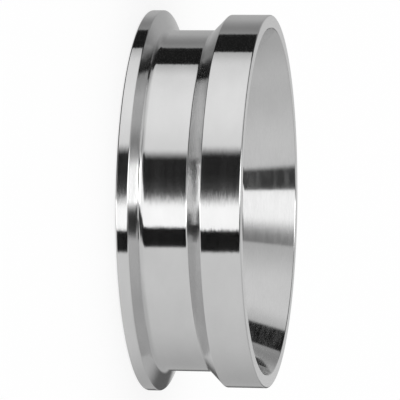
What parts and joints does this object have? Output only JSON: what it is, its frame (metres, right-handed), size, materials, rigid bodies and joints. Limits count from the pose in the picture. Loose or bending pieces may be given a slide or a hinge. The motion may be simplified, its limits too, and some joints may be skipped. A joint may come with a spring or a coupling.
{
  "type": "sanitary clamp ferrule",
  "caption": "Turned stainless ring with a clamp flange, gasket groove and clamp neck at one end and a wider pipe-size weld collar at the other, with a conical bore between.",
  "frame": {"origin": "centre of the sealing face, which is the lowest face as it stands", "axes": "+Z along the bore's axis, from the sealing face towards the weld end; X and Y are any two directions across it"},
  "size_m": [0.091, 0.091, 0.0286],
  "materials": {
    "stainless": "fine turned and bright polished, bare stainless steel"
  },
  "bodies": {
    "root": {"ferrule": "stainless"}
  },
  "joints": []
}
